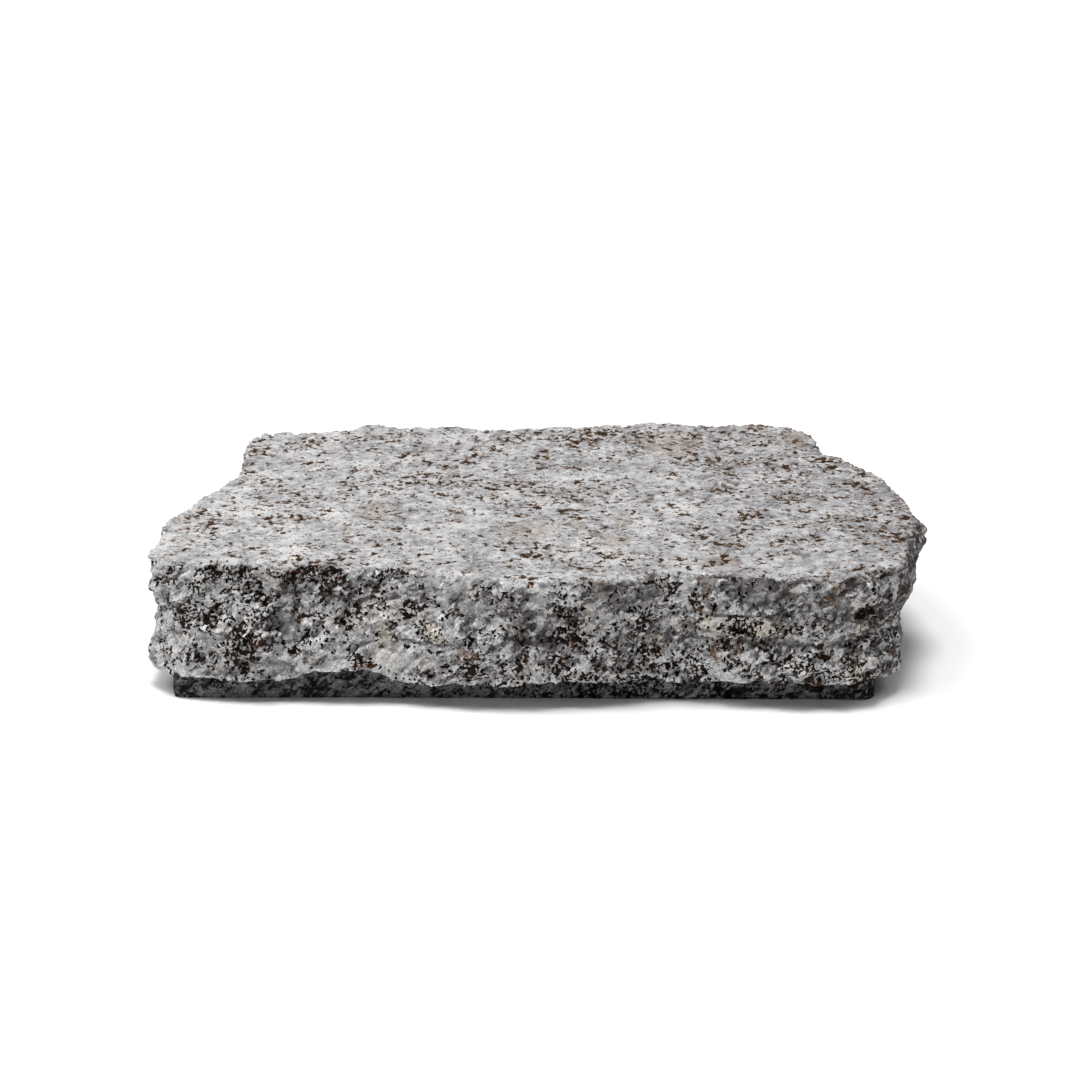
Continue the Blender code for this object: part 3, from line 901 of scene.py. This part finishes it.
class Rock:
    """The patterns that the layers of the granite share.

    The three parts of a cell's colour serve as three random numbers.
    """

    def __init__(self, nodes, size):
        self.nodes = nodes
        self.mix = nodes.mix
        self.size = size
        self.place = place = nodes.attribute("laid", vector=True)
        self.x, self.y, self.z = (place.part(axis) for axis in range(3))
        slant = slanted(nodes, place)
        self.broken = nodes.attribute("broken")
        self.crystal_place = bent(nodes, crystal_places(nodes, place, size), 0.9, 0.7, 4.0)
        self.crystal = nodes.cells(self.crystal_place, size, CRYSTAL_SEED).out("Color")
        self.grain_place = bent(nodes, place, 0.9, 0.8, 3.0)
        self.grain = nodes.cells(self.grain_place, *GRAIN).out("Color")
        self.dust = noise_of(nodes, place, "dust")
        self.zone = noise_of(nodes, place, "zone") - 0.5
        self.streak = noise_of(nodes, slant, "streak") - 0.5
        self.ragged = (noise_of(nodes, place, "ragged") - 0.5) * 1.1
        self.patch = {}
        for name in MINERALS:
            self.patch[name] = (nodes.attribute(name) + self.ragged).step(0.42, 0.58)

        # Crystals in three sizes, from grey quartz to white feldspar
        speck = nodes.cells(place, *SPECK).out("Color")
        mixed = self.crystal.part(0) * 0.40 + self.grain.part(0) * 0.16
        self.mixed = mixed + speck.part(0) * 0.10 + 0.19

        # Dark lines: between crystals, along the grain of the rock, and painted shade along the
        # ledges
        gap = nodes.gaps(self.crystal_place, size, CRYSTAL_SEED)
        self.border = gap + (self.dust - 0.5) * 0.14
        self.thin = (self.ragged * 0.18 + 0.02 - self.border).step(0.0, 0.03) * 0.7
        self.lines = threads(nodes, slant, "lines", 0.032, 0.006)
        self.hairs = threads(nodes, slant, "hairs", 0.06, 0.01)
        self.seam = (nodes.attribute("seam") + self.ragged * 0.3).step(0.40, 0.65)

        # Worn: the top without the crumbs missing along its rim; at the right the sides just under
        # the rim take the top's pale colour too, as wear and as painted light over the shade under
        # the rim
        rim = nodes.attribute("rim")
        worn_and_lit_rim = self.broken * (rim + self.ragged * 0.4).step(0.45, 0.75)
        worn_and_lit_rim = worn_and_lit_rim * self.x.step(115.0, 140.0) * 0.8
        crumbs = (crumbs_of(nodes, place) * rim * 1.6).at_most(1.0)
        self.worn = (1.0 - self.broken).at_least(worn_and_lit_rim) * (1.0 - crumbs * 0.8)

        # Where mica gathers, where its flakes lie on the top, and where it has rusted
        self.gather = gathering(nodes, place)
        self.flake = flakes_of(nodes, place)
        self.score = self.flake + self.gather * 0.65 + self.x * 0.00010
        rust = noise_of(nodes, place, "rust") + self.patch["rust"] * 0.3
        self.rust = rust.step(0.58, 0.70)


def granite(settings):
    """Granite: ragged crystals of feldspar, quartz and mica, with rust, worn pale on the top."""
    material = bpy.data.materials.new("granite")
    material.use_nodes = True
    nodes = Nodes(material.node_tree)
    rock = Rock(nodes, settings.crystal_size / MM)
    tone = tone_of(rock)
    mica = mica_of(rock)

    body = body_colour(rock, tone, settings)
    surface = nodes.mix(rock.worn * WORN_SHARE, body, top_colour(rock, settings))
    surface = stained(rock, surface)
    surface = nodes.mix(mica, surface, mica_colour(rock, settings))
    # Painted shade under the overhang: the foot is darkened, and its light crystals stand out less
    foot = surface * (surface * 0.31 + 0.03)
    surface = nodes.mix(nodes.attribute("foot"), surface, foot)

    roughness = 0.60 + rock.worn * 0.15 - mica * 0.15 - tone * 0.10
    values = {"Height": relief_of(rock, mica) * MM, "Strength": 1.0, "Distance": 1.0}
    normal = nodes.add("ShaderNodeBump", {}, values).out(0)
    shader = material.node_tree.nodes["Principled BSDF"]
    shader.inputs["Specular IOR Level"].default_value = SHEEN
    for name, value in (("Base Color", surface), ("Roughness", roughness), ("Normal", normal)):
        nodes.tree.links.new(value.socket, shader.inputs[name])
    return material


def tone_of(rock):
    """How light the broken stone is: its crystals in zones, streaks and patches, and painted light
    and shade by place.
    """
    lip = rock.nodes.attribute("lip")
    # Painted light and shade by place: lighter at the left end, darker towards the right end and
    # again past 125 mm, and lighter low on the front between -75 and -25 mm
    ends = rock.x.step(-138.0, -156.0) * 0.10 - rock.x.step(60.0, 150.0) * 0.19
    ends = ends - rock.x.step(125.0, 145.0) * 0.08
    ends = ends + rock.z.step(30.0, 16.0) * rock.x.step(-75.0, -25.0) * 0.055
    tone = rock.mixed + rock.zone * 0.70 + rock.streak * 0.80 + (rock.dust - 0.5) * 0.40
    tone = tone + ends + 0.035
    # The white and cream patches are the crystals' own colour; the share of the lip is painted
    # light along the lower lip
    tone = tone + rock.patch["white"] * 0.16 + rock.patch["cream"] * 0.10 + lip * 0.10
    smooth = 0.37 + (rock.dust - 0.5) * 0.26 + (rock.crystal.part(0) - 0.5) * 0.12
    smooth = smooth + rock.streak * 0.45
    return tone + (smooth - tone) * (rock.patch["quartz"] * 0.65)


def body_colour(rock, tone, settings):
    """The broken stone: quartz and feldspar, cream in places, with its dark lines and painted shade
    at the ledges.
    """
    quartz = tuple(QUARTZ_SHADE * part for part in settings.quartz)
    feldspar = tuple(FELDSPAR_SHADE * part for part in settings.feldspar)
    colours = BODY_RAMP | {QUARTZ_PLACE: quartz, FELDSPAR_PLACE: feldspar}
    body = rock.nodes.ramp(tone, colours)
    cream = rock.patch["cream"]
    hue = noise_of(rock.nodes, rock.place, "hue") - 0.5
    warm = hue + rock.crystal.part(1) * 0.22 + rock.x.step(90.0, 150.0) * 0.10
    warm = warm.step(0.18, 0.34).at_least(cream)
    body = rock.mix(warm * 0.42 + cream * 0.38, body, body * CREAM_TINT)
    lines = rock.thin.at_least(rock.lines * 0.60).at_least(rock.hairs * 0.50)
    body = rock.mix(lines, body, body * LINE_TINT)
    # Painted shade along the ledges of the front
    return rock.mix(rock.seam * 0.7, body, LEDGE_SHADE_BROWN)


def top_colour(rock, settings):
    """The worn top: the same crystals, bruised pale, with painted shade greying it towards the
    right and back.
    """
    # Painted shade: the top darkens evenly towards the right and the back
    shade = (rock.x + 130.0) * 0.00032 + (rock.y + 100.0) * 0.00010
    pale = rock.mixed * 0.40 + rock.dust * 0.26 + 0.135 + rock.zone * 0.32
    pale = pale + rock.streak * 0.44 - rock.lines * 0.06 - shade
    pale = pale + rock.patch["cream"] * 0.06
    return rock.nodes.ramp(pale, TOP_RAMP | {WORN_PLACE: tuple(settings.worn)})


def mica_of(rock):
    """Where mica lies, from 0 to 1."""
    # On the broken sides it fills the gaps between the crystals, and some crystals, where it
    # gathers; a few light grains stay free in it
    room = (rock.gather * 1.5).at_most(0.28) + rock.ragged * 0.24 - 0.01
    chance = (rock.gather * 1.5 + 0.12).at_most(0.58)
    fresh = (room - rock.border).step(0.0, 0.03)
    fresh = fresh.at_least((chance - rock.crystal.part(2)).step(0.0, 0.02))
    fresh = fresh.at_least((chance + 0.03 - rock.grain.part(2)).step(0.0, 0.02))
    fresh = fresh * (1.0 - rock.grain.part(0).step(0.72, 0.75) * 0.85)
    # On the top it lies in small flakes, thin wisps and scattered specks
    flakes = rock.score.step(0.612, 0.624)
    wisps = threads(rock.nodes, rock.place, "wisps", 0.022, 0.012)
    wisps = wisps * (rock.score - 0.52).step(0.0, 0.08)
    scattered = (rock.grain.part(2) + rock.score * 0.4).step(1.14, 1.15)
    old = flakes.at_least(wisps * 0.9).at_least(scattered * 0.9)
    return (fresh * rock.broken).at_least(old * rock.worn)


def mica_colour(rock, settings):
    """Near black with brown grains on the broken sides, and brown flakes on the top."""
    brown = rock.mix(rock.rust, MICA_BROWN, MICA_RUST)
    fresh = rock.mix(rock.grain.part(1).step(0.35, 0.7), settings.mica, brown)
    old = rock.mix(rock.score.step(0.615, 0.68), FLAKE_TAN, FLAKE_BROWN)
    return rock.mix(rock.worn, fresh, old)


def stained(rock, surface):
    """The surface with tan halos round the flakes of the top, and with torn patches of rust."""
    halo = rock.score.step(0.570, 0.615) * 0.65
    halo = halo.at_least(rock.patch["taupe"] * 0.35) * rock.worn * rock.dust.step(0.25, 0.50)
    surface = rock.mix(halo, surface, HALO_TAN)
    torn = (rock.flake * 0.6 + rock.dust * 0.4 + rock.broken * 0.015).step(0.50, 0.54)
    stain = rock.patch["rust"] * torn * 0.95
    stain = stain.at_least(rock.rust * (rock.score - 0.5).step(0.0, 0.12) * 0.35)
    ochre = rock.mix(rock.grain.part(1), RUST_OCHRE, RUST_BROWN)
    return rock.mix(stain * rock.dust.step(0.3, 0.6), surface, ochre)


def relief_of(rock, mica):
    """Fine relief in millimetres: crystals, grains and dust, with mica and dark lines set back."""
    fine = tilted(rock.nodes, rock.grain_place, *GRAIN, 0.0)
    coarse = tilted(rock.nodes, rock.crystal_place, rock.size, CRYSTAL_SEED, 0.0)
    dust = (rock.dust - 0.5) * 0.30
    relief = coarse * 0.30 + fine * 0.34 + dust - mica * 0.20
    relief = relief - rock.thin.at_least(rock.lines) * 0.12 - rock.seam * 0.5
    ripple = noise_of(rock.nodes, rock.place, "ripple") - 0.5
    bruised = dust + fine * 0.10 + coarse * 0.16 - mica * 0.20 + ripple * 0.9
    return relief + (bruised - relief) * rock.worn


# ---------- operators


class DISPLAYSTONE_OT_stone(bpy.types.Operator):
    """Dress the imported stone: cut it finely, roughen it and give it its granite"""

    bl_idname = "displaystone.stone"
    bl_label = "Dress Stone"

    def execute(self, context):
        settings = context.scene.stone_settings
        data = refined(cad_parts[NODE], settings.top_spacing)
        soften(data)
        mark(data)
        break_front(data)
        mesh = roughened(data, settings, granite(settings))
        bpy.data.meshes.remove(data)
        lay_out(mesh)
        mesh.name = PIECE
        mesh.shade_smooth()
        stone = bpy.data.objects.new(PIECE, mesh)
        context.scene.collection.objects.link(stone)
        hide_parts(NODE)
        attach(stone, BODY)
        print("stone triangles", len(mesh.polygons))
        return {"FINISHED"}


class DISPLAYSTONE_OT_stage(bpy.types.Operator):
    """Set the floor, the lights, the world and the camera"""

    bl_idname = "displaystone.stage"
    bl_label = "Set Stage"

    def execute(self, context):
        settings = context.scene.stage_settings
        self.lay_floor(settings)
        for name, towards, angle, strength in (
            ("left_light", (-0.65, 0.045, 1.0), 30.0, settings.left_light),
            ("top_light", (-0.06, 0.045, 1.0), 22.0, settings.top_light),
            ("right_light", (0.60, 0.045, 1.0), 30.0, settings.right_light),
            ("front_light", (-0.60, -1.0, 0.2), 60.0, settings.front_light),
        ):
            self.hang_light(name, towards, angle, strength)
        self.light_world(settings)
        self.place_camera(settings)
        return {"FINISHED"}

    def lay_floor(self, settings):
        """A wide white floor."""
        bpy.ops.mesh.primitive_plane_add(size=settings.floor_size, location=(0.0, 0.0, 0.0))
        floor = bpy.context.object
        floor.name = "floor"
        material = bpy.data.materials.new("white_floor")
        material.use_nodes = True
        shader = material.node_tree.nodes["Principled BSDF"]
        shader.inputs["Base Color"].default_value = (0.93, 0.93, 0.93, 1.0)
        shader.inputs["Roughness"].default_value = 1.0
        shader.inputs["Specular IOR Level"].default_value = 0.0
        floor.data.materials.append(material)

    def hang_light(self, name, towards, angle, strength):
        """A broad soft light from a direction, as wide in degrees as its angle."""
        light = bpy.data.lights.new(name, "SUN")
        light.energy = strength
        light.angle = math.radians(angle)
        lamp = bpy.data.objects.new(name, light)
        lamp.rotation_euler = (-Vector(towards)).to_track_quat("-Z", "Y").to_euler()
        bpy.context.scene.collection.objects.link(lamp)

    def light_world(self, settings):
        """A world that looks white and lights the stone only a little."""
        world = bpy.data.worlds.new("studio")
        world.use_nodes = True
        nodes = Nodes(world.node_tree)
        back = world.node_tree.nodes["Background"]
        seen = nodes.add("ShaderNodeLightPath", {}, {}).out("Is Camera Ray")
        strength = seen * (1.1 - settings.fill) + settings.fill
        world.node_tree.links.new(strength.socket, back.inputs["Strength"])
        back.inputs["Color"].default_value = (1.0, 1.0, 1.0, 1.0)
        bpy.context.scene.world = world

    def place_camera(self, settings):
        """A long lens in front of the stone, looking a little down on its top."""
        lens = bpy.data.cameras.new("camera")
        lens.lens = settings.focal_length
        lens.sensor_width = 36.0
        camera = bpy.data.objects.new("camera", lens)
        target = Vector((-0.0013, -0.0505, 0.055))
        tilt = settings.camera_height
        towards = Vector((0.0, -math.cos(tilt), math.sin(tilt)))
        camera.location = target + settings.camera_distance * towards
        camera.rotation_euler = (math.pi / 2 - tilt, 0.0, 0.0)
        scene = bpy.context.scene
        scene.collection.objects.link(camera)
        scene.camera = camera
        scene.view_settings.view_transform = "Standard"


class DISPLAYSTONE_PT_panel(bpy.types.Panel):
    """Lists the stone's and the stage's settings and buttons"""

    bl_idname = "DISPLAYSTONE_PT_panel"
    bl_label = "Display Stone"
    bl_space_type = "VIEW_3D"
    bl_region_type = "UI"
    bl_category = "Display Stone"

    def draw(self, context):
        for operator, settings in (
            (DISPLAYSTONE_OT_stone, context.scene.stone_settings),
            (DISPLAYSTONE_OT_stage, context.scene.stage_settings),
        ):
            box = self.layout.box()
            for name in type(settings).__annotations__:
                box.prop(settings, name)
            box.operator(operator.bl_idname)


CLASSES = (
    StoneSettings,
    StageSettings,
    DISPLAYSTONE_OT_stone,
    DISPLAYSTONE_OT_stage,
    DISPLAYSTONE_PT_panel,
)


def register():
    for one in CLASSES:
        bpy.utils.register_class(one)
    bpy.types.Scene.stone_settings = PointerProperty(type=StoneSettings)
    bpy.types.Scene.stage_settings = PointerProperty(type=StageSettings)


def unregister():
    del bpy.types.Scene.stage_settings
    del bpy.types.Scene.stone_settings
    for one in reversed(CLASSES):
        bpy.utils.unregister_class(one)


def main():
    register()
    bpy.ops.displaystone.stage()
    bpy.ops.displaystone.stone()


if __name__ == "__main__":
    main()
